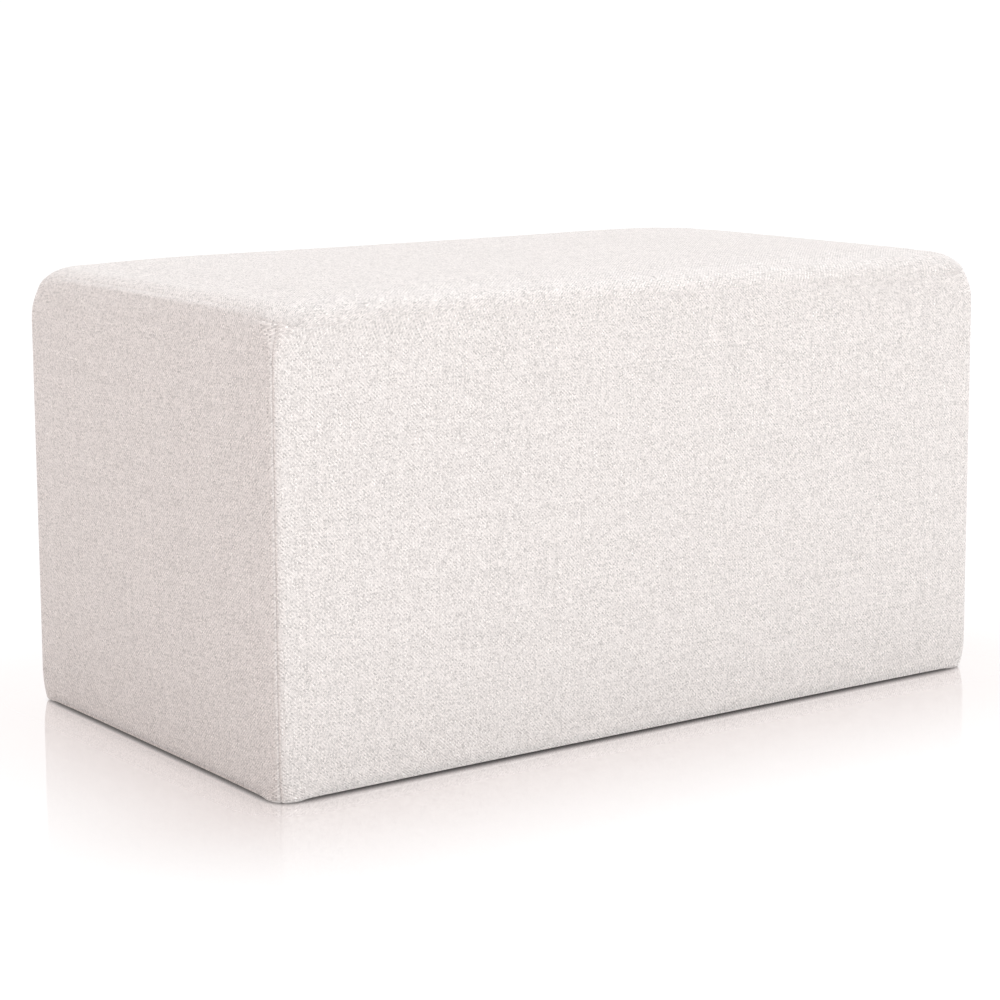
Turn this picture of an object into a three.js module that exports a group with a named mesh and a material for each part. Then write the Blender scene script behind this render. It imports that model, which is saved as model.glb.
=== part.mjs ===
// Rectangular pouf: one filled, upholstered block that stands on a dark base panel.
//
// Millimetres, +Z up. The origin is on the floor, under the middle of the pouf. X runs along the
// length and Y along the depth. The long front side faces -Y and the end that shows faces -X.
//
// The cloth is five panels. The top panel rolls over the upper edges and meets the side panels in
// a seam just below them. The side panels meet in four upright corner seams, and their hem turns
// under the block. Folded cloth makes a small tuck at the foot of each corner seam.

import * as THREE from 'three';

// Overall size
const length = 914;
const depth = 508;
const height = 483;

// Top: the crown's rise above the rolled edge, and how square its plateau is along X and Y
const crownRise = 8;
const crownPowerX = 6;
const crownPowerY = 4;

// Upper edges: the roll along the long sides is tighter than the roll along the ends
const longEdgeRoll = 20;
const endEdgeRoll = 22;
const rollEndAngle = 82;

// Upright corners in plan: tight along the seam, wider where the top panel goes over
const cornerRadius = 12;
const topCornerRadius = 36;
const cornerOpening = 50;
const cornerDrop = 1;
const cornerDropReach = 45;

// Side panels: swell in the middle, drawn in along the hem
const sideSwell = 4;
const hemDraw = 2;
const hemDrawHeight = 120;
const sidePower = 4;

// Hem: turned under with a soft roll, held off the floor but for the corner tucks
const hemRoll = 5;
const hemLift = 2.5;
const tuckLift = 0.5;
const tuckReach = 12;
const undersideInset = 12;

// Seam channels
const channelDepth = 1.5;
const channelHalfWidth = 1.5;
const seamBandHalfWidth = 4;

// The top panel's seam: how far below the roll's top it lies at the corner, beside the corner and
// along the rest of the side, and over what distances it changes
const seamTable = {
  long: { atCorner: 17, beside: 21, along: 18, besideReach: 8, settleStart: 60, settleReach: 60 },
  end: { atCorner: 17, beside: 8, along: 8, besideReach: 24, settleStart: 60, settleReach: 60 },
};

// Base panel
const baseInset = 14;
const baseCornerRadius = 50;
const pieceGap = 0.3;

// Steps of the surface; the wall's rows are shares of its height, closer together near the top
const longSteps = 16;
const endSteps = 10;
const cornerSteps = 6;
const hemSteps = 4;
const wallShares = [0.08, 0.22, 0.4, 0.6, 0.78, 0.89, 0.95, 1];
const rollSteps = 4;
const baseCurveSteps = 6;

const edgeTop = height - crownRise;
const quarterTurn = Math.PI / 2;

// The four sides, counter-clockwise seen from above, starting with the front
const sides = [
  { along: [1, 0], out: [0, -1], kind: 'long', steps: longSteps },
  { along: [0, 1], out: [1, 0], kind: 'end', steps: endSteps },
  { along: [-1, 0], out: [0, 1], kind: 'long', steps: longSteps },
  { along: [0, -1], out: [-1, 0], kind: 'end', steps: endSteps },
];

const halfSpan = { long: length / 2, end: depth / 2 };
const rollOf = { long: longEdgeRoll, end: endEdgeRoll };
const otherKind = { long: 'end', end: 'long' };

const mix = (a, b, share) => a + (b - a) * share;

// A share held between 0 and 1 and eased at both ends
function ease(share) {
  const t = Math.min(Math.max(share, 0), 1);
  return t * t * (3 - 2 * t);
}

// The stations of one ring. Each side starts in the middle of one rounded corner and stops before
// the middle of the next. along runs from -1 to 1 over the straight stretch, closer together at
// its ends; turn is the angle on the corner's arc, zero on the straight stretch.
function makeStations() {
  const stations = [];
  const halfCorner = cornerSteps / 2;
  for (const side of sides) {
    for (let i = 0; i < halfCorner; i++) {
      stations.push({ side, along: -1, turn: -quarterTurn / 2 * (1 - i / halfCorner) });
    }
    for (let i = 0; i <= side.steps; i++) {
      stations.push({ side, along: Math.sin(quarterTurn * (-1 + 2 * i / side.steps)), turn: 0 });
    }
    for (let i = 1; i < halfCorner; i++) {
      stations.push({ side, along: 1, turn: quarterTurn / 2 * i / halfCorner });
    }
  }
  for (const station of stations) describe(station);
  return stations;
}

// What stays the same for a station at every height: its distance from the nearest corner seam,
// its edge roll, its hem's lift and the height of the top panel's seam
function describe(station) {
  const { side, along, turn } = station;
  const arcShare = Math.abs(turn) / (quarterTurn / 2);
  const straight = (1 - Math.abs(along)) * (halfSpan[side.kind] - cornerRadius);
  const gap = straight + cornerRadius * (quarterTurn / 2) * (1 - arcShare);
  const bothRolls = (rollOf[side.kind] + rollOf[otherKind[side.kind]]) / 2;
  const seam = seamTable[side.kind];
  const besideShare = ease(gap / seam.besideReach);
  const settleShare = ease((gap - seam.settleStart) / seam.settleReach);
  const belowTop = mix(seam.atCorner, seam.beside, besideShare) + (seam.along - seam.beside) * settleShare;
  station.cornerGap = gap;
  station.roll = mix(rollOf[side.kind], bothRolls, arcShare);
  station.lift = mix(hemLift, tuckLift, Math.exp(-((gap / tuckReach) ** 2)));
  station.seamHeight = edgeTop - belowTop;
}

// A point of the ring with its sides moved in by insetX and insetY and its corners rounded
function planPoint(station, insetX, insetY, radius, push) {
  const { side, along, turn } = station;
  const half = { long: length / 2 - insetX, end: depth / 2 - insetY };
  const alongDistance = along * (half[side.kind] - radius) + radius * Math.sin(turn);
  const outDistance = half[otherKind[side.kind]] - radius + radius * Math.cos(turn) + push;
  return [
    alongDistance * side.along[0] + outDistance * side.out[0],
    alongDistance * side.along[1] + outDistance * side.out[1],
  ];
}

// How far a quarter-round of unit radius has turned in, at a share of its rise
const turnedIn = (share) => 1 - Math.sqrt(1 - share * share);

// A point of the cloth at one station and height: straight side, rolled over at the top edge and
// under at the hem, swollen in the middle, drawn in at the hem and grooved along the seams
function clothPoint(station, z, seamDepth) {
  const side = 1 - Math.abs(station.along) ** sidePower;
  const rollShare = Math.min(Math.max((z - (edgeTop - station.roll)) / station.roll, 0), 1);
  const hemShare = Math.min(Math.max(1 - (z - station.lift) / hemRoll, 0), 1);
  const insetX = endEdgeRoll * turnedIn(rollShare) + hemRoll * turnedIn(hemShare);
  const insetY = longEdgeRoll * turnedIn(rollShare) + hemRoll * turnedIn(hemShare);
  const opened = ease((z - (edgeTop - cornerOpening)) / cornerOpening);
  const radius = mix(cornerRadius, topCornerRadius, opened);
  const swell = sideSwell * side * Math.sin(Math.PI * Math.min(z / station.seamHeight, 1));
  const draw = hemDraw * side * (1 - ease(z / hemDrawHeight));
  const uprightShare = z < station.seamHeight ? Math.exp(-((station.cornerGap / channelHalfWidth) ** 2)) : 0;
  const channel = Math.max(channelDepth * uprightShare, seamDepth);
  const [x, y] = planPoint(station, insetX, insetY, radius, swell - draw - channel);
  const drop = cornerDrop * opened * Math.exp(-((station.cornerGap / cornerDropReach) ** 2));
  return [x, y, z - drop];
}

// One row of the surface: a point for each station, at the height that heightAt gives
const makeRow = (stations, heightAt, seamDepth = 0) =>
  stations.map((station) => clothPoint(station, heightAt(station), seamDepth));

// All rows from the underside to the end of the edge roll
function makeRows(stations) {
  const rows = [];
  const underside = (station) => {
    const [x, y] = planPoint(station, undersideInset, undersideInset, cornerRadius, 0);
    return [x, y, hemLift];
  };
  rows.push(stations.map(underside));
  for (let i = 0; i <= hemSteps; i++) {
    const rise = 1 - Math.cos(quarterTurn * i / hemSteps);
    rows.push(makeRow(stations, (s) => s.lift + hemRoll * rise));
  }
  const wallTop = (s) => s.seamHeight - seamBandHalfWidth;
  for (const share of wallShares) {
    rows.push(makeRow(stations, (s) => mix(s.lift + hemRoll, wallTop(s), share)));
  }
  rows.push(makeRow(stations, (s) => s.seamHeight - channelHalfWidth));
  rows.push(makeRow(stations, (s) => s.seamHeight, channelDepth));
  rows.push(makeRow(stations, (s) => s.seamHeight + channelHalfWidth));
  const lastAngle = rollEndAngle * Math.PI / 180;
  for (let i = 0; i <= rollSteps; i++) {
    rows.push(makeRow(stations, (s) => {
      const rise = (s.seamHeight + seamBandHalfWidth - (edgeTop - s.roll)) / s.roll;
      const firstAngle = Math.asin(Math.max(rise, 0));
      return edgeTop - s.roll * (1 - Math.sin(mix(firstAngle, lastAngle, i / rollSteps)));
    }));
  }
  return rows;
}

// A cap inside a ring: each point is carried in from the four sides of the ring, which meet in the
// middles of the rounded corners. shapeAt may lift a point by where it lies.
function makeCap(ring, ringIndex, addPoint, shapeAt) {
  const across = longSteps + cornerSteps;
  const up = endSteps + cornerSteps;
  const count = ring.length;
  const at = (k) => (k + count) % count;
  const grid = [];
  for (let i = 0; i <= across; i++) {
    grid.push([]);
    for (let j = 0; j <= up; j++) {
      const front = at(i);
      const back = at(2 * across + up - i);
      const left = at(-j);
      const right = at(across + j);
      if (j === 0) grid[i].push(ringIndex + front);
      else if (j === up) grid[i].push(ringIndex + back);
      else if (i === 0) grid[i].push(ringIndex + left);
      else if (i === across) grid[i].push(ringIndex + right);
      else {
        const u = i / across;
        const v = j / up;
        const point = [0, 1, 2].map((n) => {
          const lower = mix(ring[0][n], ring[across][n], u);
          const upper = mix(ring[at(2 * across + up)][n], ring[across + up][n], u);
          return mix(ring[front][n], ring[back][n], v) + mix(ring[left][n], ring[right][n], u)
            - mix(lower, upper, v);
        });
        grid[i].push(addPoint(shapeAt(point)));
      }
    }
  }
  return grid;
}

// The crown: full height in the middle, falling to the end of the edge roll
function crownOver(ring) {
  const halfX = Math.max(...ring.map((p) => Math.abs(p[0])));
  const halfY = Math.max(...ring.map((p) => Math.abs(p[1])));
  return ([x, y, z]) => {
    const shareX = 1 - Math.min(Math.abs(x) / halfX, 1) ** crownPowerX;
    const shareY = 1 - Math.min(Math.abs(y) / halfY, 1) ** crownPowerY;
    return [x, y, mix(z, height, shareX * shareY)];
  };
}

// The closed skin of the filled body
function makeBodyGeometry() {
  const rows = makeRows(makeStations());
  const points = rows.flat();
  const faces = [];
  const count = rows[0].length;
  const addPoint = (point) => points.push(point) - 1;
  const addQuad = (a, b, c, d) => faces.push(a, b, c, a, c, d);
  for (let r = 0; r + 1 < rows.length; r++) {
    for (let k = 0; k < count; k++) {
      const next = (k + 1) % count;
      addQuad(r * count + k, r * count + next, (r + 1) * count + next, (r + 1) * count + k);
    }
  }
  const lastRing = rows.length - 1;
  const top = makeCap(rows[lastRing], lastRing * count, addPoint, crownOver(rows[lastRing]));
  const bottom = makeCap(rows[0], 0, addPoint, (point) => point);
  for (let i = 0; i + 1 < top.length; i++) {
    for (let j = 0; j + 1 < top[0].length; j++) {
      addQuad(top[i][j], top[i + 1][j], top[i + 1][j + 1], top[i][j + 1]);
      addQuad(bottom[i][j], bottom[i][j + 1], bottom[i + 1][j + 1], bottom[i + 1][j]);
    }
  }
  const geometry = new THREE.BufferGeometry();
  geometry.setAttribute('position', new THREE.Float32BufferAttribute(points.flat(), 3));
  geometry.setIndex(faces);
  geometry.computeVertexNormals();
  return geometry;
}

// The base panel: a flat board with well rounded corners, clear of the tucks and of the body
function makeBaseGeometry() {
  const halfX = length / 2 - baseInset;
  const halfY = depth / 2 - baseInset;
  const r = baseCornerRadius;
  const outline = new THREE.Shape();
  outline.moveTo(-halfX + r, -halfY);
  outline.lineTo(halfX - r, -halfY);
  outline.absarc(halfX - r, -halfY + r, r, -quarterTurn, 0, false);
  outline.lineTo(halfX, halfY - r);
  outline.absarc(halfX - r, halfY - r, r, 0, quarterTurn, false);
  outline.lineTo(-halfX + r, halfY);
  outline.absarc(-halfX + r, halfY - r, r, quarterTurn, 2 * quarterTurn, false);
  outline.lineTo(-halfX, -halfY + r);
  outline.absarc(-halfX + r, -halfY + r, r, 2 * quarterTurn, 3 * quarterTurn, false);
  const settings = { depth: hemLift - pieceGap, bevelEnabled: false, curveSegments: baseCurveSteps };
  return new THREE.ExtrudeGeometry(outline, settings);
}

const wovenCloth = new THREE.MeshStandardMaterial({ color: 0xe4deda, roughness: 0.95, metalness: 0 });
const baseCloth = new THREE.MeshStandardMaterial({ color: 0x2b2a29, roughness: 0.9, metalness: 0 });

const pouf = new THREE.Group();

const body = new THREE.Mesh(makeBodyGeometry(), wovenCloth);
body.name = 'upholstered_body';
pouf.add(body);

const base = new THREE.Mesh(makeBaseGeometry(), baseCloth);
base.name = 'base_panel';
pouf.add(base);

export default pouf;
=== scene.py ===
import math

import bpy
import numpy as np
from mathutils import Matrix, Vector


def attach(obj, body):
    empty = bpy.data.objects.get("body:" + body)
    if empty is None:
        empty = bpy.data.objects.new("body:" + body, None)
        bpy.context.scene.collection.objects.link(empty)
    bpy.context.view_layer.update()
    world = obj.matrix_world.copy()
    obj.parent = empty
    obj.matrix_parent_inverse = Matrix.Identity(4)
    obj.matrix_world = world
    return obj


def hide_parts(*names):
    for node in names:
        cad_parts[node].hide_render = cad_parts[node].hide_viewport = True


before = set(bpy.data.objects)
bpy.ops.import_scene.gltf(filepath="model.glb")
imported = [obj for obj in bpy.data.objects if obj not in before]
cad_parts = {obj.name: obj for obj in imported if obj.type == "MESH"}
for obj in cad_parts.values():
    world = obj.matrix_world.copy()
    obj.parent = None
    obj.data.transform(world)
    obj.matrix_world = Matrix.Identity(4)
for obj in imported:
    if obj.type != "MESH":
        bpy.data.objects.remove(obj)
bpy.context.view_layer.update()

scene = bpy.context.scene
print("frame loaded")


camera = {
    "azimuth": -35.603,      # degrees round the pouf, 0 looks along +Y
    "elevation": 8.688,      # degrees above the horizon
    "roll": -0.275,          # degrees, the photograph leans this much
    "distance": 2.8918,
    "target": (-0.0108, 0.0077, 0.2964),
    "lens": 94.39,           # mm on a 36 mm sensor
    "shiftY": -0.08,         # lifts the pouf in the picture
}


def makeCamera(view):
    # The camera looks at its target along azimuth and elevation from a distance, and rolls about that line.
    a, e, r = (math.radians(view[k]) for k in ("azimuth", "elevation", "roll"))
    back = np.array([math.sin(a) * math.cos(e), -math.cos(a) * math.cos(e), math.sin(e)])
    level = np.array([math.cos(a), math.sin(a), 0.0])
    above = np.cross(back, level)
    right = math.cos(r) * level + math.sin(r) * above
    up = -math.sin(r) * level + math.cos(r) * above
    data = bpy.data.cameras.new("camera")
    data.lens, data.sensor_width, data.shift_y = view["lens"], 36.0, view["shiftY"]
    data.clip_start, data.clip_end = 0.05, 60.0
    data.dof.use_dof = False
    cam = bpy.data.objects.new("camera", data)
    place = np.eye(4)
    place[:3, :3] = np.stack([right, up, back], 1)
    place[:3, 3] = np.array(view["target"]) + back * view["distance"]
    cam.matrix_world = Matrix(place.tolist())
    scene.collection.objects.link(cam)
    scene.camera = cam


makeCamera(camera)
print("camera placed")


body = {
    "length": 0.914, "depth": 0.508, "height": 0.483,
    "crownRise": 0.008, "crownPowerX": 6, "crownPowerY": 4,      # rise of the crown, and how square it is
    "longRoll": 0.020, "endRoll": 0.022, "rollEnd": 82,          # rolled upper edges, ending at this angle
    "endLean": 0.009, "endLeanHeight": 0.062,                    # the ends lean in softly towards the top
    "cornerRadius": 0.012, "topCornerRadius": 0.036,             # upright corners in plan, lower and top
    "cornerOpening": 0.050,                                      # how far down they begin to open
    "cornerDrop": 0.001, "cornerDropReach": 0.045,               # the top edge is lower at the corners
    "sideSwell": 0.004, "sidePower": 4,                          # side panels swell in the middle
    "hemDraw": 0.002, "hemDrawHeight": 0.120,                    # and are drawn in along the hem
    "hemRoll": 0.0038, "hemLift": 0.0023,                        # the hem turns under, clear of the floor
    "tuckLift": 0.0002, "tuckReach": 0.013,                      # and hangs lower in the corners' tucks
    "undersideInset": 0.012,                                     # the flat underside's edge, from the sides
    "footCornerRadius": 0.025, "footCornerHeight": 0.034,        # corners gathered under at the foot
    # how far below the rolled edge's top the top panel's seam lies: at the corner, beside it and along the
    # side, and the distance from the corner at which it lies as beside it
    "longSeam": (0.017, 0.021, 0.018, 0.008),
    "endSeam": (0.017, 0.008, 0.008, 0.024),
    "settleStart": 0.060, "settleReach": 0.060,                  # where it passes from beside to along
    "seamBand": 0.008,                                           # half width of the strip with fine rows
}

fineGrid = {
    # mm from the upright seam, and the step elsewhere
    "nearSeam": (0, 0.5, 1.0, 1.6, 2.4, 3.5, 5.0, 7.0, 9.4, 12.5, 16.5, 21.5), "step": 6.4,
    "hemRows": 7, "wallRows": 66, "rollRows": 6,
    # mm up the cloth from the top panel's seam
    "bandRows": (-8, -5.6, -3.8, -2.6, -1.7, -1.0, -0.5, 0, 0.5, 1.0, 1.7, 2.6, 3.8, 5.6, 8),
}
coarseGrid = {
    "nearSeam": (0, 4.7, 9.4, 17), "step": 15,
    "hemRows": 2, "wallRows": 29, "rollRows": 2, "bandRows": (-8, 0, 8),
}

edgeTop = body["height"] - body["crownRise"]
cornerArc = body["cornerRadius"] * math.pi / 4  # half of a corner's rounding
seamRow = 2.5                                   # the row on the top panel's seam
# directions of the four sides, along them and outwards
sideAlong = np.array([(1, 0), (0, 1), (-1, 0), (0, -1)], float)
sideOut = np.array([(0, -1), (1, 0), (0, 1), (-1, 0)], float)


def ease(t):
    # 3 t squared less 2 t cubed, from 0 to 1 with no slope at either end.
    t = np.clip(t, 0, 1)
    return t * t * (3 - 2 * t)


def mix(a, b, t):
    # The value a share t of the way from a to b.
    return a + (b - a) * t


def makeSpots(form, grid):
    # Spots round the body, counter-clockwise from the middle of the front left corner. run is the distance
    # along a side from its middle, and reach is where it ends, in the middle of the corner's rounding.
    near = np.array(grid["nearSeam"]) / 1000
    runs, reaches = [], []
    for half in (form["length"] / 2, form["depth"] / 2) * 2:
        reach = half - form["cornerRadius"] + cornerArc
        inner = reach - near[-1]
        count = 2 * round(inner / grid["step"] * 1000)
        even = np.linspace(-inner, inner, count + 1)
        runs.append(np.r_[near[:-1] - reach, even, (reach - near[:-1])[::-1]])
        reaches.append(reach)
    side = np.concatenate([np.full(len(r) - 1, k) for k, r in enumerate(runs)])
    reach = np.array(reaches)[side]
    start = np.r_[0, np.cumsum(2 * np.array(reaches))][side]
    run = np.concatenate([r[:-1] for r in runs])
    runEnd = np.concatenate([r[1:] for r in runs])
    straight = reach - cornerArc
    isLong = side % 2 == 0
    gap = reach - np.abs(run)
    arcShare = np.clip(np.abs(run) - straight, 0, None) / cornerArc
    roll = np.where(isLong, form["longRoll"], form["endRoll"])
    roll = mix(roll, (form["longRoll"] + form["endRoll"]) / 2, arcShare)
    atCorner, beside, along, besideReach = np.where(isLong[:, None], form["longSeam"], form["endSeam"]).T
    settled = ease((gap - form["settleStart"]) / form["settleReach"])
    below = mix(atCorner, beside, ease(gap / besideReach)) + (along - beside) * settled
    seamHeight = edgeTop - below
    rollStart = edgeTop - roll
    onRoll = rollStart + roll * np.arcsin(np.clip((seamHeight - rollStart) / roll, 0, 1))
    seamArc = np.where(seamHeight < rollStart, seamHeight, onRoll)
    tucked = np.exp(-(gap / form["tuckReach"]) ** 2)
    return {
        "side": side, "run": run, "runEnd": runEnd, "ring": start + run + reach, "total": 2 * sum(reaches),
        "along": np.clip(run / straight, -1, 1), "turn": np.sign(run) * arcShare * math.pi / 4,
        "gap": gap, "roll": roll, "rollStart": rollStart, "seamHeight": seamHeight, "seamArc": seamArc,
        "lift": mix(form["hemLift"], form["tuckLift"], tucked),
        "across": len(runs[0]) - 1, "up": len(runs[1]) - 1,
    }


def makeRows(grid):
    # Row numbers: 0 to 1 up the turned-under hem, 1 to 2 up the wall, 2 to 3 across the seam, and 3 to 4
    # over the roll.
    band = (np.array(grid["bandRows"]) / grid["bandRows"][-1] + 1) / 2
    return np.r_[np.linspace(0, 1, grid["hemRows"], False), 1 + np.linspace(0, 1, grid["wallRows"], False),
                 2 + band, 3 + np.linspace(0, 1, grid["rollRows"] + 1)[1:]]


def arcAlong(form, spots, rows):
    # Distance up the profile for every row and spot. It equals the height on the straight wall.
    wallStart = spots["lift"] + form["hemRoll"]
    hemStart = wallStart - form["hemRoll"] * math.pi / 2
    bandStart, bandEnd = spots["seamArc"] - form["seamBand"], spots["seamArc"] + form["seamBand"]
    rollEnd = spots["rollStart"] + spots["roll"] * math.radians(form["rollEnd"])
    knots = np.array([hemStart, wallStart, bandStart, bandEnd, rollEnd])
    k = np.minimum(rows.astype(int), 3)
    return mix(knots[k], knots[k + 1], (rows - k)[:, None])


def planPoints(form, spots, insetX, insetY, radius, push):
    # A rectangle moved in by the insets, with rounded corners, pushed outwards from its sides.
    isLong = spots["side"] % 2 == 0
    halfX, halfY = form["length"] / 2 - insetX, form["depth"] / 2 - insetY
    own, other = np.where(isLong, halfX, halfY), np.where(isLong, halfY, halfX)
    a = spots["along"] * (own - radius) + radius * np.sin(spots["turn"])
    d = other - radius + radius * np.cos(spots["turn"]) + push
    return a[..., None] * sideAlong[spots["side"]] + d[..., None] * sideOut[spots["side"]]


def skinPoints(form, spots, rows):
    # The cloth's surface: straight walls, a quarter round over the top edge and another under the hem. Each
    # side swells by a sine of its height and is drawn in towards the hem, both fading towards the corners.
    # The ends lean in by the square of the height above where the lean starts. The corners' radius in plan
    # grows towards the top, and towards the floor, where the cloth is gathered under.
    arc = arcAlong(form, spots, rows)
    over = np.clip((arc - spots["rollStart"]) / spots["roll"], 0, None)
    under = np.clip((spots["lift"] + form["hemRoll"] - arc) / form["hemRoll"], 0, math.pi / 2)
    z = np.where(over > 0, spots["rollStart"] + spots["roll"] * np.sin(over), arc)
    z = np.where(under > 0, spots["lift"] + form["hemRoll"] * (1 - np.sin(under)), z)
    hem = form["hemRoll"] * (1 - np.cos(under))
    insetX = form["endRoll"] * (1 - np.cos(over)) + hem
    insetY = form["longRoll"] * (1 - np.cos(over)) + hem
    opened = ease((z - (edgeTop - form["cornerOpening"])) / form["cornerOpening"])
    gathered = np.clip(1 - z / form["footCornerHeight"], 0, 1) ** 2
    radius = mix(form["cornerRadius"], form["topCornerRadius"], opened)
    radius = mix(radius, form["footCornerRadius"], gathered)
    away = 1 - np.abs(spots["along"]) ** form["sidePower"]
    swell = form["sideSwell"] * away * np.sin(math.pi * np.minimum(z / spots["seamHeight"], 1))
    draw = form["hemDraw"] * away * (1 - ease(z / form["hemDrawHeight"]))
    lean = np.clip((z - edgeTop + form["endLeanHeight"]) / form["endLeanHeight"], 0, 1) ** 2
    insetX = insetX + form["endLean"] * lean
    xy = planPoints(form, spots, insetX, insetY, radius, swell - draw)
    drop = form["cornerDrop"] * opened * np.exp(-(spots["gap"] / form["cornerDropReach"]) ** 2)
    ring = np.concatenate([xy, (z - drop)[..., None]], 2)
    inset = form["undersideInset"]
    flat = planPoints(form, spots, inset, inset, form["footCornerRadius"], 0)
    underside = np.concatenate([flat, np.full((len(flat), 1), form["hemLift"])], 1)
    return np.concatenate([underside[None], ring]), arc


def capPoints(ring, spots):
    # A patch inside a ring: the blend of front and back, plus that of left and right, less that of the four
    # corners, which are the middles of the roundings.
    m, n, count = spots["across"], spots["up"], len(ring)
    front, right = ring[:m + 1], ring[m:m + n + 1]
    back, left = ring[m + n:2 * m + n + 1][::-1], ring[(-np.arange(n + 1)) % count]
    u, v = np.linspace(0, 1, m + 1)[None, :, None], np.linspace(0, 1, n + 1)[:, None, None]
    corners = mix(mix(front[0], front[-1], u), mix(back[0], back[-1], u), v)
    return mix(front[None], back[None], v) + mix(left[:, None], right[:, None], u) - corners


def crownOver(form, cap):
    # Full height in the middle, falling to the rim by powers of the shares of half length and half depth.
    half = np.abs(cap[..., :2]).max((0, 1))
    share = np.clip(np.abs(cap[..., :2]) / half, 0, 1)
    rise = (1 - share[..., 0] ** form["crownPowerX"]) * (1 - share[..., 1] ** form["crownPowerY"])
    cap[..., 2] = mix(cap[..., 2], form["height"], rise)
    return cap


def numberGrid(spots, rowCount):
    # Vertex numbers of the rings, then of the two caps. Their rims are the last ring and the first.
    m, n, count = spots["across"], spots["up"], len(spots["run"])
    rings = np.arange(rowCount * count).reshape(rowCount, count)
    caps, start = [], rings.size
    for ring in (rings[-1], rings[0]):
        cap = np.empty((n + 1, m + 1), int)
        cap[0], cap[-1] = ring[:m + 1], ring[m + n:2 * m + n + 1][::-1]
        cap[:, 0], cap[:, -1] = ring[(-np.arange(n + 1)) % count], ring[m:m + n + 1]
        cap[1:-1, 1:-1] = start + np.arange((n - 1) * (m - 1)).reshape(n - 1, m - 1)
        start += (n - 1) * (m - 1)
        caps.append(cap)
    return rings, caps[0], caps[1]


def quads(grid):
    # Four corners of every cell, counter-clockwise where columns run right and rows run up.
    return np.stack([grid[:-1, :-1], grid[:-1, 1:], grid[1:, 1:], grid[1:, :-1]], -1).reshape(-1, 4)


def makeBody(form, grid):
    # All points and faces of the closed skin, with what later steps need to know about them.
    spots, rows = makeSpots(form, grid), makeRows(grid)
    skin, arc = skinPoints(form, spots, rows)
    rings, topGrid, baseGrid = numberGrid(spots, len(skin))
    top, base = crownOver(form, capPoints(skin[-1], spots)), capPoints(skin[0], spots)
    inner = [cap[1:-1, 1:-1].reshape(-1, 3) for cap in (top, base)]
    points = np.concatenate([skin.reshape(-1, 3), *inner])
    walls = quads(np.hstack([rings, rings[:, :1]]))
    faces = np.concatenate([walls, quads(topGrid), quads(baseGrid)[:, ::-1]])
    return {"spots": spots, "rows": rows, "arc": arc, "rings": rings, "top": topGrid, "base": baseGrid,
            "points": points, "faces": faces}


def makeMesh(name, points, faces):
    # A smooth mesh from arrays of points and of four-cornered faces.
    mesh = bpy.data.meshes.new(name)
    mesh.vertices.add(len(points))
    mesh.vertices.foreach_set("co", np.ascontiguousarray(points, np.float32).ravel())
    mesh.loops.add(faces.size)
    mesh.loops.foreach_set("vertex_index", faces.astype(np.int32).ravel())
    mesh.polygons.add(len(faces))
    starts = np.arange(0, faces.size, faces.shape[1], dtype=np.int32)
    mesh.polygons.foreach_set("loop_start", starts)
    mesh.polygons.foreach_set("use_smooth", np.ones(len(faces), bool))
    mesh.update(calc_edges=True)
    mesh.validate()
    return mesh


def makeObject(name, points, faces):
    # The mesh's object stays at the origin.
    obj = bpy.data.objects.new(name, makeMesh(name, points, faces))
    scene.collection.objects.link(obj)
    return obj


def pointNormals(points, faces):
    # Each point's normal is the mean of its faces' normals, weighted by their areas.
    a, b, c, d = (points[faces[:, k]] for k in range(4))
    normal = np.cross(c - a, d - b)
    out = np.zeros_like(points)
    for k in range(4):
        np.add.at(out, faces[:, k], normal)
    return out / np.maximum(np.linalg.norm(out, axis=1, keepdims=True), 1e-12)


filling = {
    "pressure": 4.0,         # of the filling on the cloth
    "stiffness": 60.0,       # of the cloth along its yarns
    "frames": 20,
    "share": 0.30,           # of a free bulge that firm foam lets the cloth take
    "cap": 0.0028,           # m, the most that a point may move
    "edge": 0.050,           # m, the moves grow from none over this distance from a seam
    "quality": 6,            # steps of the simulation in a frame
    "startSwell": 0.0018,    # the panels start flatter than they end
    "startCrown": 0.0052,
}


def splineMatrix(known, wanted):
    # A natural cubic spline as a matrix: each wanted value is a weighted sum of the known ones.
    n, h = len(known), np.diff(known)
    a, b, i = np.zeros((n, n)), np.zeros((n, n)), np.arange(1, n - 1)
    a[0, 0] = a[-1, -1] = 1
    a[i, i - 1], a[i, i], a[i, i + 1] = h[:-1], 2 * (h[:-1] + h[1:]), h[1:]
    b[i, i - 1], b[i, i], b[i, i + 1] = 6 / h[:-1], -6 / h[:-1] - 6 / h[1:], 6 / h[1:]
    bend, unit = np.linalg.solve(a, b), np.eye(n)
    c = np.clip(np.searchsorted(known, wanted, side="right") - 1, 0, n - 2)
    w = known[c + 1] - known[c]
    p, q = ((known[c + 1] - wanted) / w)[:, None], ((wanted - known[c]) / w)[:, None]
    w = w[:, None] ** 2 / 6
    return p * unit[c] + q * unit[c + 1] + (p ** 3 - p) * w * bend[c] + (q ** 3 - q) * w * bend[c + 1]


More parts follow.
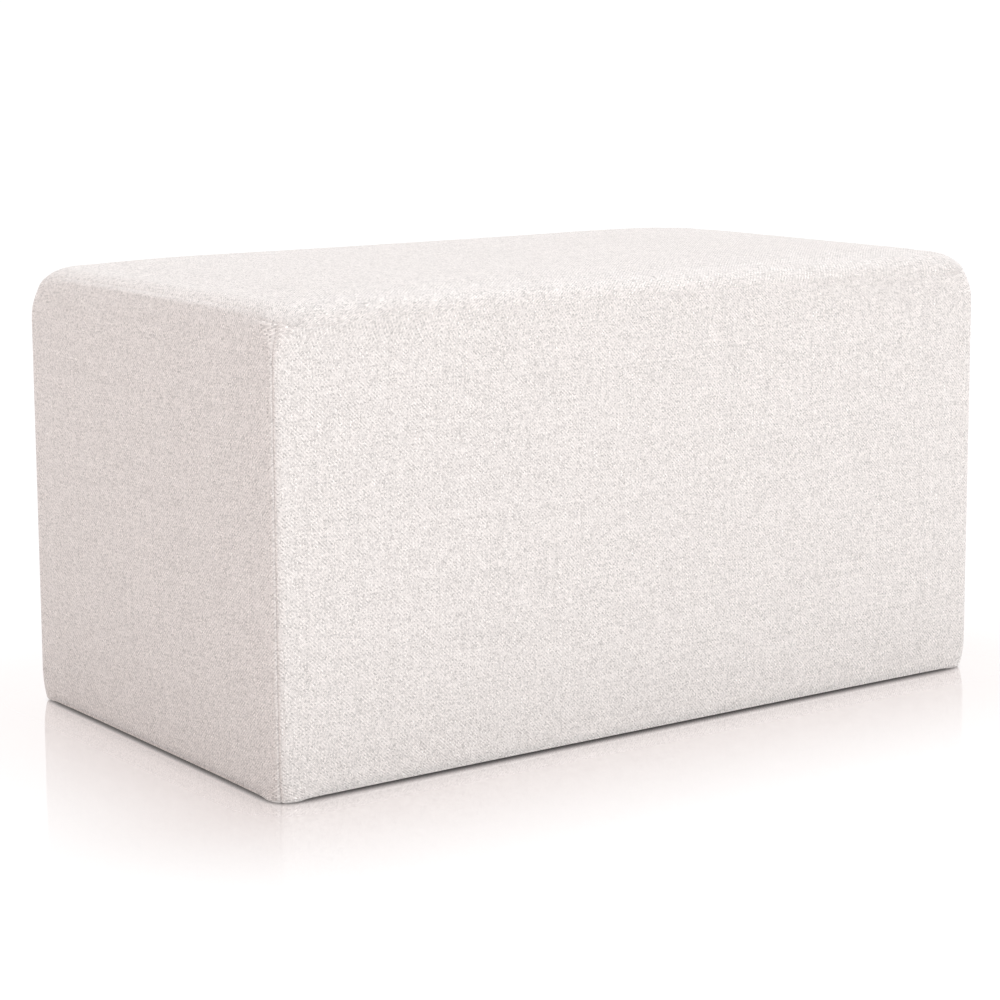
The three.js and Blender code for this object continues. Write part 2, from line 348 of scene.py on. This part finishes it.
def inflate(form, fill):
    # The coarse skin is held along its seams, hem and underside, and the filling's pressure pushes the
    # panels out. Each point keeps a share of its free move, eased towards the cap by tanh.
    start = dict(form, sideSwell=fill["startSwell"], crownRise=fill["startCrown"],
                 height=edgeTop + fill["startCrown"])
    skin = makeBody(start, coarseGrid)
    spots, rows = skin["spots"], skin["rows"]
    held = np.zeros(len(skin["points"]), bool)
    held[skin["base"].ravel()] = True
    held[skin["rings"][0]] = True
    held[skin["rings"][1:][rows <= 1]] = True
    held[skin["rings"][1:][np.abs(rows - seamRow) < 0.01]] = True
    held[skin["rings"][1:][rows < seamRow][:, spots["gap"] < 0.001]] = True
    obj = makeObject("trialSkin", skin["points"], skin["faces"])
    group = obj.vertex_groups.new(name="held")
    group.add(np.flatnonzero(held).tolist(), 1.0, "REPLACE")
    cloth = obj.modifiers.new("cloth", "CLOTH")
    settings = cloth.settings
    settings.use_pressure, settings.uniform_pressure_force = True, fill["pressure"]
    settings.effector_weights.gravity = 0
    settings.vertex_group_mass = "held"
    settings.tension_stiffness = settings.compression_stiffness = fill["stiffness"]
    settings.quality = fill["quality"]
    cloth.collision_settings.use_collision = False
    cloth.point_cache.frame_start, cloth.point_cache.frame_end = 1, fill["frames"]
    for f in range(1, fill["frames"] + 1):
        scene.frame_set(f)
    moved = obj.evaluated_get(bpy.context.evaluated_depsgraph_get()).to_mesh()
    after = np.empty(3 * len(held), np.float32)
    moved.vertices.foreach_get("co", after)
    move = after.reshape(-1, 3) - skin["points"]
    scene.frame_set(1)
    bpy.data.objects.remove(obj)
    size = np.linalg.norm(move, axis=1, keepdims=True)
    kept = fill["cap"] * np.tanh(fill["share"] * size / fill["cap"])
    halves = np.array([form["length"] / 2, form["depth"] / 2])
    away = (halves - np.abs(skin["points"][:, :2])).min(1)
    away[skin["rings"][1:]] = np.minimum(np.abs(skin["arc"] - spots["seamArc"]), spots["gap"])
    kept *= ease(away / fill["edge"])[:, None]
    print(f"simulated, furthest free move {size.max() * 1000:.1f} mm, kept {kept.max() * 1000:.1f} mm")
    return skin, start, move * kept / np.maximum(size, 1e-9)


def carryMoves(coarse, move, fine):
    # The coarse skin's moves reach the fine one by splines along the rows and spots of the same surface.
    # Round the ring, spots are repeated past both ends so that the spline closes.
    old, new = coarse["spots"], fine["spots"]
    pad = 4  # spots repeated
    ring = np.r_[old["ring"][-pad:] - old["total"], old["ring"], old["ring"][:pad] + old["total"]]
    byRing = splineMatrix(ring, new["ring"])
    byRow = splineMatrix(coarse["rows"], fine["rows"])
    rings = move[coarse["rings"][1:]]
    rings = np.concatenate([rings[:, -pad:], rings, rings[:, :pad]], 1)
    out = np.zeros_like(fine["points"])
    out[fine["rings"][1:]] = np.einsum("ab,bcx,dc->adx", byRow, rings, byRing)
    m, n = old["across"], old["up"]
    u = splineMatrix(old["ring"][:m + 1], new["ring"][:new["across"] + 1])
    v = splineMatrix(old["ring"][m:m + n + 1], new["ring"][new["across"]:new["across"] + new["up"] + 1])
    inner = np.einsum("ab,bcx,dc->adx", v, move[coarse["top"]], u)
    out[fine["top"][1:-1, 1:-1]] = inner[1:-1, 1:-1]
    return out


seams = {
    # m, the line where two panels meet
    "uprightValley": 0.0006, "topValley": 0.00012, "valleyWidth": 0.0008,
    # the seam allowance raises the cloth beside it
    "ridge": 0.0002, "ridgeAt": 0.0022, "ridgeWidth": 0.0011,
    "uprightEnd": 0.0008,    # over which an upright seam ends at the top panel's seam
    # the top panel's folded edge stands proud of the side panels, then falls back
    "topFold": 0.0001, "foldRise": 0.0012, "foldFlat": 0.002, "foldFall": 0.006,
    # a pucker just under the top seam of the long sides, beside the corners
    "pucker": 0.0006, "puckerBelow": 0.0012, "puckerWidth": 0.0009, "puckerReach": 0.080,
}


def seamRelief(form, skin, seam):
    # Height along the normal: a narrow bell-shaped valley on each seam, with a low ridge on both sides of
    # it, an eased step up to the top panel's fold, and a narrow ridge for the pucker.
    spots, arc = skin["spots"], skin["arc"]
    across = arc - spots["seamArc"]

    def section(d, valley):
        d = np.abs(d)
        line = -valley * np.exp(-(d / seam["valleyWidth"]) ** 2)
        return line + seam["ridge"] * np.exp(-((d - seam["ridgeAt"]) / seam["ridgeWidth"]) ** 2)

    below = ease(0.5 - across / seam["uprightEnd"])
    upright = section(spots["gap"], seam["uprightValley"]) * below
    relief = np.where(np.abs(across) < form["seamBand"], section(across, seam["topValley"]), 0.0)
    relief = np.where(np.abs(upright) > np.abs(relief), upright, relief)
    foldUp = ease(across / seam["foldRise"])
    foldDown = ease((across - seam["foldFlat"]) / seam["foldFall"])
    fold = seam["topFold"] * foldUp * (1 - foldDown)
    pucker = np.exp(-((across + seam["puckerBelow"]) / seam["puckerWidth"]) ** 2)
    pucker = pucker * np.exp(-(spots["gap"] / seam["puckerReach"]) ** 2)
    fold += seam["pucker"] * pucker * (spots["side"] % 2 == 0)
    out = np.zeros(len(skin["points"]))
    out[skin["rings"][1:]] = relief + fold
    return out


clothCut = {
    "underStrip": 0.007,     # m of cloth from the hem's fold to the underside
    "panelShift": 0.0371,    # m between the places in the cloth that two side panels are cut from
}


def clothMap(skin, cut):
    # The cloth laid flat, in metres. Side panels use the distance from their middle and the height up the
    # profile. The top panel uses the plan, carried on straight over its rolled edges. The end panels and
    # the top panel are cut a quarter turn round, so that their twill leans the other way.
    spots, arc = skin["spots"], skin["arc"]
    points, side = skin["points"], spots["side"]
    count = len(side)
    nextOne = (np.arange(count) + 1) % count
    low = np.vstack([arc[:1] - cut["underStrip"], arc])
    rim = points[skin["rings"][-1]][:, :2]
    turn = spots["turn"][:, None]
    outward = sideOut[side] * np.cos(turn) + sideAlong[side] * np.sin(turn)
    lastArc = arc[-1]
    u = np.stack([spots["run"], spots["runEnd"], spots["runEnd"], spots["run"]], -1)
    u = np.broadcast_to(u, (len(low) - 1, count, 4))
    v = np.stack([low[:-1], low[:-1][:, nextOne], low[1:][:, nextOne], low[1:]], -1)
    isEnd = (side % 2 == 1)[None, :, None]
    flat = np.where(isEnd[..., None], np.stack([v, -u], -1), np.stack([u, v], -1))
    flat = flat + (side * cut["panelShift"])[None, :, None, None]
    topFlat = rim[None] + outward[None] * (lastArc - low)[..., None]
    topFlat = np.stack([topFlat[:-1], topFlat[:-1][:, nextOne], topFlat[1:][:, nextOne], topFlat[1:]], 2)
    topFlat = np.stack([topFlat[..., 1], -topFlat[..., 0]], -1)
    isTop = np.r_[False, skin["rows"] >= seamRow - 0.001][:-1]
    flat = np.where(isTop[:, None, None, None], topFlat, flat)
    maps = [flat.reshape(-1, 4, 2)]
    for grid, flip in ((skin["top"], False), (skin["base"], True)):
        q = quads(grid)[:, ::-1] if flip else quads(grid)
        xy = points[q][..., :2]
        maps.append(np.stack([xy[..., 1], -xy[..., 0]], -1))
    return np.concatenate(maps)


def seamDistances(skin):
    # For each point: distance from the upright seam and from the top panel's. The third number is spare.
    spots, arc, onRings = skin["spots"], skin["arc"], skin["rings"][1:]
    far = 0.1  # m, stands for no seam nearby
    out = np.full((len(skin["points"]), 3), far)
    out[onRings, 0] = np.where(arc <= spots["seamArc"] + 1e-6, spots["gap"], far)
    out[onRings, 1] = np.abs(arc - spots["seamArc"])
    return out


def linear(hexColour):
    # sRGB hex to linear red, green, blue and alpha
    c = np.array([int(hexColour[k:k + 2], 16) / 255 for k in (1, 3, 5)])
    c = np.where(c <= 0.04045, c / 12.92, ((c + 0.055) / 1.055) ** 2.4)
    return (*c.tolist(), 1.0)


def addNode(tree, kind, inputs=None, **settings):
    # Adds a node, sets its properties, and fills each input with a value or with a link from a socket.
    node = tree.nodes.new(kind)
    for name, value in settings.items():
        setattr(node, name, value)
    for key, value in (inputs or {}).items():
        if isinstance(value, bpy.types.NodeSocket):
            tree.links.new(value, node.inputs[key])
        else:
            node.inputs[key].default_value = value
    return node


def addRows(tree, made, rows):
    # Adds a node for each row and keeps its first output in made, under the row's name. A row holds that
    # name, the node with its operation, and its inputs in order or by number. A word among the inputs is an
    # output made before.
    for name, kind, *inputs in rows:
        kind, _, operation = kind.partition(" ")
        inputs = inputs[0] if isinstance(inputs[0], dict) else dict(enumerate(inputs))
        inputs = {key: made[value] if isinstance(value, str) else value for key, value in inputs.items()}
        settings = {"operation": operation} if operation else {}
        made[name] = addNode(tree, "ShaderNode" + kind, inputs, **settings).outputs[0]


def newMaterial(name):
    # A material with an empty node tree.
    material = bpy.data.materials.new(name)
    material.use_nodes = True
    material.node_tree.nodes.clear()
    return material, material.node_tree


twill = {
    "pitch": 0.00094,        # m between yarns, so the twill lines are 2.65 mm apart
    "warp": "#F7F2EF",       # the lighter set of yarns
    "weft": "#E9E4E1",       # the darker set
    "floatSpread": 0.21,     # how much the brightness differs from one float to the next
    "yarnSpread": 0.05,      # and from one yarn to the next
    "slubSpread": 0.11,      # and along a yarn
    "slubLength": 0.011,     # m
    "thickLight": 0.16,      # extra brightness of the few thick places in the yarns
    "thickFrom": 0.62,       # they begin where the slub's noise passes this value
    "thickRise": 12.0,       # how steeply they brighten past it
    "yarnApart": 7.31,       # steps in the slub's noise from one yarn to the next
    "gapShade": 0.87,        # painted shade: brightness of the colour in the gaps between yarns
    "gapEnd": 0.7,           # share of a yarn's height at which it is no longer shaded
    "seamLine": 0.0011,      # m, half width of a seam's darker line of painted shade
    "uprightShade": 0.86,    # painted shade: brightness in the line of an upright seam
    "topShade": 0.97,        # and of the top panel's seam
    "wobble": 0.00035,       # m, how far the yarns stray from straight
    "wobbleLength": 0.012,
    "bumpHeight": 0.00022,
    "roughness": 0.92, "specular": 0.25, "sheen": 0.10, "sheenRoughness": 0.45,
}


def makeTwill(weave):
    # Heathered polyester twill, two over and two under: matt and slightly soft, so the eye gets fine
    # slanting lines, short light and dark streaks along the yarns, and no gloss.
    material, tree = newMaterial("heathered_twill")
    flat = addNode(tree, "ShaderNodeUVMap", uv_map="cloth").outputs[0]
    noise = {"Vector": flat, "Scale": 1 / weave["wobbleLength"], "Detail": 1.0}
    stray = addNode(tree, "ShaderNodeTexNoise", noise).outputs["Color"]
    spread = (4 * weave["wobble"], 4 * weave["wobble"], 0.0)
    stray = addNode(tree, "ShaderNodeVectorMath", {0: stray, 1: spread, 2: flat}, operation="MULTIPLY_ADD")
    place = addNode(tree, "ShaderNodeSeparateXYZ", {0: stray.outputs[0]}).outputs
    made = {"u": place[0], "v": place[1]}
    addRows(tree, made, [
        # numbers of the warp and weft yarns that cross here, and places across them, 0 to 1
        ("column", "Math DIVIDE", "u", weave["pitch"]), ("row", "Math DIVIDE", "v", weave["pitch"]),
        ("warpNumber", "Math FLOOR", "column"), ("weftNumber", "Math FLOOR", "row"),
        ("acrossWarp", "Math FRACT", "column"), ("acrossWeft", "Math FRACT", "row"),
        # the weave repeats every four yarns along a diagonal, and in two of the four the warp is on top
        ("diagonal", "Math ADD", "warpNumber", "weftNumber"),
        ("step", "Math FLOORED_MODULO", "diagonal", 4.0), ("warpTop", "Math LESS_THAN", "step", 1.5),
        ("repeat", "Math DIVIDE", "diagonal", 4.0), ("float", "Math FLOOR", "repeat"),
        # place along the float that shows, 0 to 1 over its two yarns
        ("warpSteps", "Math ADD", "step", "acrossWeft"), ("alongWarp", "Math MULTIPLY", "warpSteps", 0.5),
        ("weftStep", "Math SUBTRACT", "step", 2.0), ("weftSteps", "Math ADD", "weftStep", "acrossWarp"),
        ("alongWeft", "Math MULTIPLY", "weftSteps", 0.5),
        # of the yarn on top: its number, the place along its float, across it and along the whole yarn
        ("yarn", "Mix", {0: "warpTop", 2: "weftNumber", 3: "warpNumber"}),
        ("along", "Mix", {0: "warpTop", 2: "alongWeft", 3: "alongWarp"}),
        ("across", "Mix", {0: "warpTop", 2: "acrossWeft", 3: "acrossWarp"}),
        ("length", "Mix", {0: "warpTop", 2: "u", 3: "v"}),
        # one chance value for each float and for each yarn, and smooth noise along the yarns
        ("floatKey", "CombineXYZ", "yarn", "float", "warpTop"),
        ("floatNoise", "TexWhiteNoise", "floatKey"),
        ("yarnKey", "CombineXYZ", "yarn", "warpTop"), ("yarnNoise", "TexWhiteNoise", "yarnKey"),
        ("slubAt", "Math DIVIDE", "length", weave["slubLength"]),
        ("yarnAt", "Math MULTIPLY", "yarn", weave["yarnApart"]),
        ("slubKey", "CombineXYZ", "slubAt", "yarnAt", "warpTop"),
        ("slub", "TexNoise", {"Vector": "slubKey", "Scale": 1.0, "Detail": 2.0}),
        # brightness is 1 plus four parts. The root, whose mean is 2/3, gives the floats more dark specks
        # than light ones, and spreads less than plain noise, so it is scaled by 2.4 and not 2.
        ("root", "Math SQRT", "floatNoise"), ("rootOff", "Math SUBTRACT", "root", 2 / 3),
        ("floatPart", "Math MULTIPLY", "rootOff", 2.4 * weave["floatSpread"]),
        ("yarnOff", "Math SUBTRACT", "yarnNoise", 0.5),
        ("yarnPart", "Math MULTIPLY", "yarnOff", 2 * weave["yarnSpread"]),
        ("slubOff", "Math SUBTRACT", "slub", 0.5),
        ("slubPart", "Math MULTIPLY", "slubOff", 4 * weave["slubSpread"]),
        ("past", "Math SUBTRACT", "slub", weave["thickFrom"]),
        ("risen", "Math MULTIPLY", "past", weave["thickRise"]),
        ("capped", "Math MINIMUM", "risen", 1.0), ("thick", "Math MAXIMUM", "capped", 0.0),
        ("thickPart", "Math MULTIPLY", "thick", weave["thickLight"]),
        ("twoParts", "Math ADD", "floatPart", "yarnPart"),
        ("threeParts", "Math ADD", "twoParts", "slubPart"),
        ("fourParts", "Math ADD", "threeParts", "thickPart"), ("bright", "Math ADD", "fourParts", 1.0),
        # a yarn's round section, and the rise and fall of its float
        ("acrossAngle", "Math MULTIPLY", "across", math.pi), ("round", "Math SINE", "acrossAngle"),
        ("alongAngle", "Math MULTIPLY", "along", math.pi), ("arch", "Math SINE", "alongAngle"),
        ("swell", "Math MULTIPLY", "round", "arch"),
        # painted shade: the colour darkens where the yarns sink, in the gaps between them and where a float
        # dips under
        ("shade", "MapRange", "swell", 0.0, weave["gapEnd"], weave["gapShade"], 1.0),
        ("strength", "Math MULTIPLY", "bright", "shade"),
    ])
    strength = made["strength"]
    # seams: a thin darker line of painted shade along each seam's groove
    marked = addNode(tree, "ShaderNodeAttribute", attribute_name="seams").outputs["Vector"]
    gaps = addNode(tree, "ShaderNodeSeparateXYZ", {0: marked}).outputs
    for gap, seamShade in ((gaps[0], weave["uprightShade"]), (gaps[1], weave["topShade"])):
        steps = {0: gap, 1: 0.0, 2: weave["seamLine"], 3: seamShade, 4: 1.0}
        line = addNode(tree, "ShaderNodeMapRange", steps, interpolation_type="SMOOTHSTEP").outputs[0]
        strength = addNode(tree, "ShaderNodeMath", {0: strength, 1: line}, operation="MULTIPLY").outputs[0]
    grey = addNode(tree, "ShaderNodeCombineXYZ", {0: strength, 1: strength, 2: strength}).outputs[0]
    yarns = {0: made["warpTop"], 6: linear(weave["weft"]), 7: linear(weave["warp"])}
    colour = addNode(tree, "ShaderNodeMix", yarns, data_type="RGBA").outputs[2]
    shown = addNode(tree, "ShaderNodeVectorMath", {0: colour, 1: grey}, operation="MULTIPLY")
    bump = addNode(tree, "ShaderNodeBump", {
        "Height": made["swell"], "Strength": 1.0, "Distance": weave["bumpHeight"]})
    cloth = addNode(tree, "ShaderNodeBsdfPrincipled", {
        "Base Color": shown.outputs[0], "Normal": bump.outputs[0], "Roughness": weave["roughness"],
        "Specular IOR Level": weave["specular"], "Sheen Weight": weave["sheen"],
        "Sheen Roughness": weave["sheenRoughness"], "Sheen Tint": linear("#FFFFFF")})
    addNode(tree, "ShaderNodeOutputMaterial", {0: cloth.outputs[0]})
    return material


baseClothAndShadow = {
    # the cover's own charcoal, dark also as painted shadow in the gap under the hem
    "colour": "#2B2A29", "light": "#3A3837", "fibre": 0.0009,
    "roughness": 0.85, "specular": 0.3, "bumpHeight": 0.0002, "bumpStrength": 0.4,
}


def makeBaseClothAndShadow(felt):
    # Spun-bonded polypropylene dust cover: matt charcoal with a faint pressed fibre grain.
    # Its charcoal is also painted shadow, darkening the gap under the hem.
    material, tree = newMaterial("dust_cover_and_painted_shadow")
    at = addNode(tree, "ShaderNodeTexCoord").outputs["Object"]
    noise = {"Vector": at, "Scale": 1 / felt["fibre"], "Detail": 3.0}
    grain = addNode(tree, "ShaderNodeTexNoise", noise).outputs[0]
    fibres = {0: grain, 6: linear(felt["colour"]), 7: linear(felt["light"])}
    colour = addNode(tree, "ShaderNodeMix", fibres, data_type="RGBA").outputs[2]
    bump = addNode(tree, "ShaderNodeBump", {
        "Height": grain, "Strength": felt["bumpStrength"], "Distance": felt["bumpHeight"]})
    cloth = addNode(tree, "ShaderNodeBsdfPrincipled", {
        "Base Color": colour, "Roughness": felt["roughness"], "Specular IOR Level": felt["specular"],
        "Normal": bump.outputs[0]})
    addNode(tree, "ShaderNodeOutputMaterial", {0: cloth.outputs[0]})
    return material


fine = makeBody(body, fineGrid)
coarse, startForm, moves = inflate(body, filling)
fine = makeBody(startForm, fineGrid)
fine["points"] = fine["points"] + carryMoves(coarse, moves, fine)
normals = pointNormals(fine["points"], fine["faces"])
fine["points"] = fine["points"] + normals * seamRelief(body, fine, seams)[:, None]
upholstery = makeObject("upholstery", fine["points"], fine["faces"])
flatCloth = upholstery.data.uv_layers.new(name="cloth")
flatCloth.data.foreach_set("uv", clothMap(fine, clothCut).astype(np.float32).ravel())
marks = upholstery.data.attributes.new("seams", "FLOAT_VECTOR", "POINT")
marks.data.foreach_set("vector", seamDistances(fine).astype(np.float32).ravel())
upholstery.data.materials.append(makeTwill(twill))
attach(upholstery, "root")
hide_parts("upholstered_body")
print(f"upholstery made, {2 * len(fine['faces'])} triangles")


basePanel = {
    "inset": 0.014, "cornerRadius": 0.050, "thickness": 0.0022,
    "edge": 0.0007,          # radius of its two edges
    "cornerSteps": 16,
}


def makeBase(panel, form):
    # A rounded rectangle carried up a profile whose two edges are quarter rounds, closed by flat faces.
    halfX, halfY = form["length"] / 2 - panel["inset"], form["depth"] / 2 - panel["inset"]
    r = panel["cornerRadius"]
    turn = np.linspace(0, math.pi / 2, panel["cornerSteps"] + 1)
    angle = np.concatenate([turn + k * math.pi / 2 for k in range(4)])
    middle = np.repeat([(1, 1), (-1, 1), (-1, -1), (1, -1)], len(turn), 0) * (halfX - r, halfY - r)
    out = np.stack([np.cos(angle), np.sin(angle)], 1)
    quarter = np.linspace(0, math.pi / 2, 4)
    low, high = 1 - np.cos(quarter), 1 - np.sin(quarter)
    inset = panel["edge"] * np.r_[high, low]
    z = np.r_[panel["edge"] * low, panel["thickness"] - panel["edge"] * high]
    rings = middle[None] + out[None] * (r - inset)[:, None, None]
    heights = np.broadcast_to(z[:, None, None], (*rings.shape[:2], 1))
    points = np.concatenate([rings, heights], 2).reshape(-1, 3)
    count = len(angle)
    numbers = np.arange(len(points)).reshape(-1, count)
    walls = quads(np.hstack([numbers, numbers[:, :1]])).tolist()
    mesh = bpy.data.meshes.new("baseBoard")
    lids = [numbers[-1].tolist(), numbers[0][::-1].tolist()]
    mesh.from_pydata(points.tolist(), [], walls + lids)
    mesh.validate()
    obj = bpy.data.objects.new("baseBoard", mesh)
    scene.collection.objects.link(obj)
    return obj


baseBoard = makeBase(basePanel, body)
baseBoard.data.materials.append(makeBaseClothAndShadow(baseClothAndShadow))
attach(baseBoard, "root")
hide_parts("base_panel")
print("base panel made")


studio = {
    "floorSize": 30.0, "floorColour": "#8F8F8F", "glow": 0.76,      # white acrylic, lit from below
    "nearShadowColour": "#F7EEEC", "nearReach": 0.30,                     # painted shadow, darker and warmer near the pouf
    "under": 0.18, "underFrom": -0.008, "underTo": 0.004,           # painted contact shadow, dark under it, m out from its outline
    "bounceNear": 0.66, "bounceReach": 0.40,                        # throws less light on the cloth there
    "mirror": 0.73, "mirrorReach": 0.40, "mirrorRoughness": 0.02,   # polish, fading away from the pouf
    # brightness of the surround as it shows, and as it lights matt surfaces
    "backdrop": 1.04, "fill": 0.70, "fillColour": "#FFECE7",
    # two wide softboxes, far away: the direction each shines from, degrees across, strength and colour
    "overhead": ((0.0, 0.24, 1.0), 50, 1.62, "#E1F7FE"),
    "front": ((0.45, -0.85, 0.25), 50, 1.28, "#E9FAFF"),
}


def makeFloor(look, form):
    # Sheet of white acrylic lit from below. Its polish is strongest at grazing angles. It falls off by the
    # square of the distance left to where it ends, past which the floor is plain matt white. Light that the
    # floor throws on the cloth has no polish in it.
    # Near the pouf its colour and glow carry painted shadow, darkest under the hem.
    h = look["floorSize"] / 2
    mesh = bpy.data.meshes.new("floor")
    mesh.from_pydata([(-h, -h, 0), (h, -h, 0), (h, h, 0), (-h, h, 0)], [], [(0, 1, 2, 3)])
    floor = bpy.data.objects.new("floor", mesh)
    scene.collection.objects.link(floor)
    material, tree = newMaterial("studio_floor")
    r = form["footCornerRadius"]
    edge = (form["length"] / 2 - r, form["depth"] / 2 - r, 0.0)
    made = {
        "place": addNode(tree, "ShaderNodeTexCoord").outputs["Object"],
        "facing": addNode(tree, "ShaderNodeLayerWeight", {0: 0.5}).outputs["Facing"],
        "toCloth": addNode(tree, "ShaderNodeLightPath").outputs["Is Diffuse Ray"],
    }
    # away is the distance from the footprint, a rectangle with rounded corners, and below zero inside it
    addRows(tree, made, [
        ("folded", "VectorMath ABSOLUTE", "place"), ("past", "VectorMath SUBTRACT", "folded", edge),
        ("outside", "VectorMath MAXIMUM", "past", (0.0, 0.0, 0.0)),
    ])
    past = addNode(tree, "ShaderNodeSeparateXYZ", {0: made["past"]}).outputs
    outside = addNode(tree, "ShaderNodeVectorMath", {0: made["outside"]}, operation="LENGTH")
    made.update(pastX=past[0], pastY=past[1], beyond=outside.outputs["Value"])
    addRows(tree, made, [
        ("further", "Math MAXIMUM", "pastX", "pastY"), ("inside", "Math MINIMUM", "further", 0.0),
        ("fromCore", "Math ADD", "inside", "beyond"), ("away", "Math SUBTRACT", "fromCore", r),
        ("near", "MapRange", "away", 0.0, look["mirrorReach"], 1.0, 0.0),
        ("nearSquare", "Math MULTIPLY", "near", "near"),
        ("grazing", "Math MULTIPLY", "nearSquare", "facing"),
        ("polished", "Math MULTIPLY", "grazing", look["mirror"]),
        ("share", "MapRange", {0: "toCloth", 3: "polished", 4: 0.0}),
        ("fade", "MapRange", "away", 0.0, look["nearReach"]),
        ("thrown", "MapRange", "away", 0.0, look["bounceReach"], look["bounceNear"], 1.0),
    ])
    # painted contact shadow: colour and glow darken towards and under the outline, and are darker and
    # warmer within nearReach
    steps = {0: made["away"], 1: look["underFrom"], 2: look["underTo"], 3: look["under"], 4: 1.0}
    lit = addNode(tree, "ShaderNodeMapRange", steps, interpolation_type="SMOOTHSTEP").outputs[0]
    tints = {0: made["fade"], 6: linear(look["nearShadowColour"]), 7: (1, 1, 1, 1)}
    shown = addNode(tree, "ShaderNodeMix", tints, data_type="RGBA").outputs[2]
    shades = {0: made["toCloth"], 6: shown, 7: made["thrown"]}
    shade = addNode(tree, "ShaderNodeMix", shades, data_type="RGBA").outputs[2]
    shade = addNode(tree, "ShaderNodeVectorMath", {0: shade, "Scale": lit}, operation="SCALE").outputs[0]
    grey = linear(look["floorColour"])[:3]
    white = addNode(tree, "ShaderNodeVectorMath", {0: shade, 1: grey}, operation="MULTIPLY")
    paint = addNode(tree, "ShaderNodeBsdfDiffuse", {0: white.outputs[0]})
    glow = addNode(tree, "ShaderNodeEmission", {"Color": shade, "Strength": look["glow"]})
    sheet = addNode(tree, "ShaderNodeAddShader", {0: paint.outputs[0], 1: glow.outputs[0]})
    polish = addNode(tree, "ShaderNodeBsdfAnisotropic", {
        "Color": (1, 1, 1, 1), "Roughness": look["mirrorRoughness"]})
    both = addNode(tree, "ShaderNodeMixShader", {
        0: made["share"], 1: sheet.outputs[0], 2: polish.outputs[0]})
    addNode(tree, "ShaderNodeOutputMaterial", {0: both.outputs[0]})
    mesh.materials.append(material)


def makeLight(look):
    # A bright even surround, which lights matt surfaces less than it shows, and two large softboxes.
    world = bpy.data.worlds.new("studio")
    scene.world = world
    world.use_nodes = True
    tree = world.node_tree
    tree.nodes.clear()
    toCloth = addNode(tree, "ShaderNodeLightPath").outputs["Is Diffuse Ray"]
    shown = addNode(tree, "ShaderNodeBackground", {0: (1, 1, 1, 1), 1: look["backdrop"]})
    fill = addNode(tree, "ShaderNodeBackground", {0: linear(look["fillColour"]), 1: look["fill"]})
    both = addNode(tree, "ShaderNodeMixShader", {0: toCloth, 1: shown.outputs[0], 2: fill.outputs[0]})
    addNode(tree, "ShaderNodeOutputWorld", {0: both.outputs[0]})
    for name in ("overhead", "front"):
        towards, spread, strength, colour = look[name]
        data = bpy.data.lights.new(name, "SUN")
        data.angle, data.energy, data.color = math.radians(spread), strength, linear(colour)[:3]
        lamp = bpy.data.objects.new(name, data)
        lamp.matrix_world = Vector(towards).to_track_quat("Z", "Y").to_matrix().to_4x4()
        scene.collection.objects.link(lamp)
    scene.view_settings.view_transform = "Standard"


makeFloor(studio, body)
makeLight(studio)
print("floor and light made")
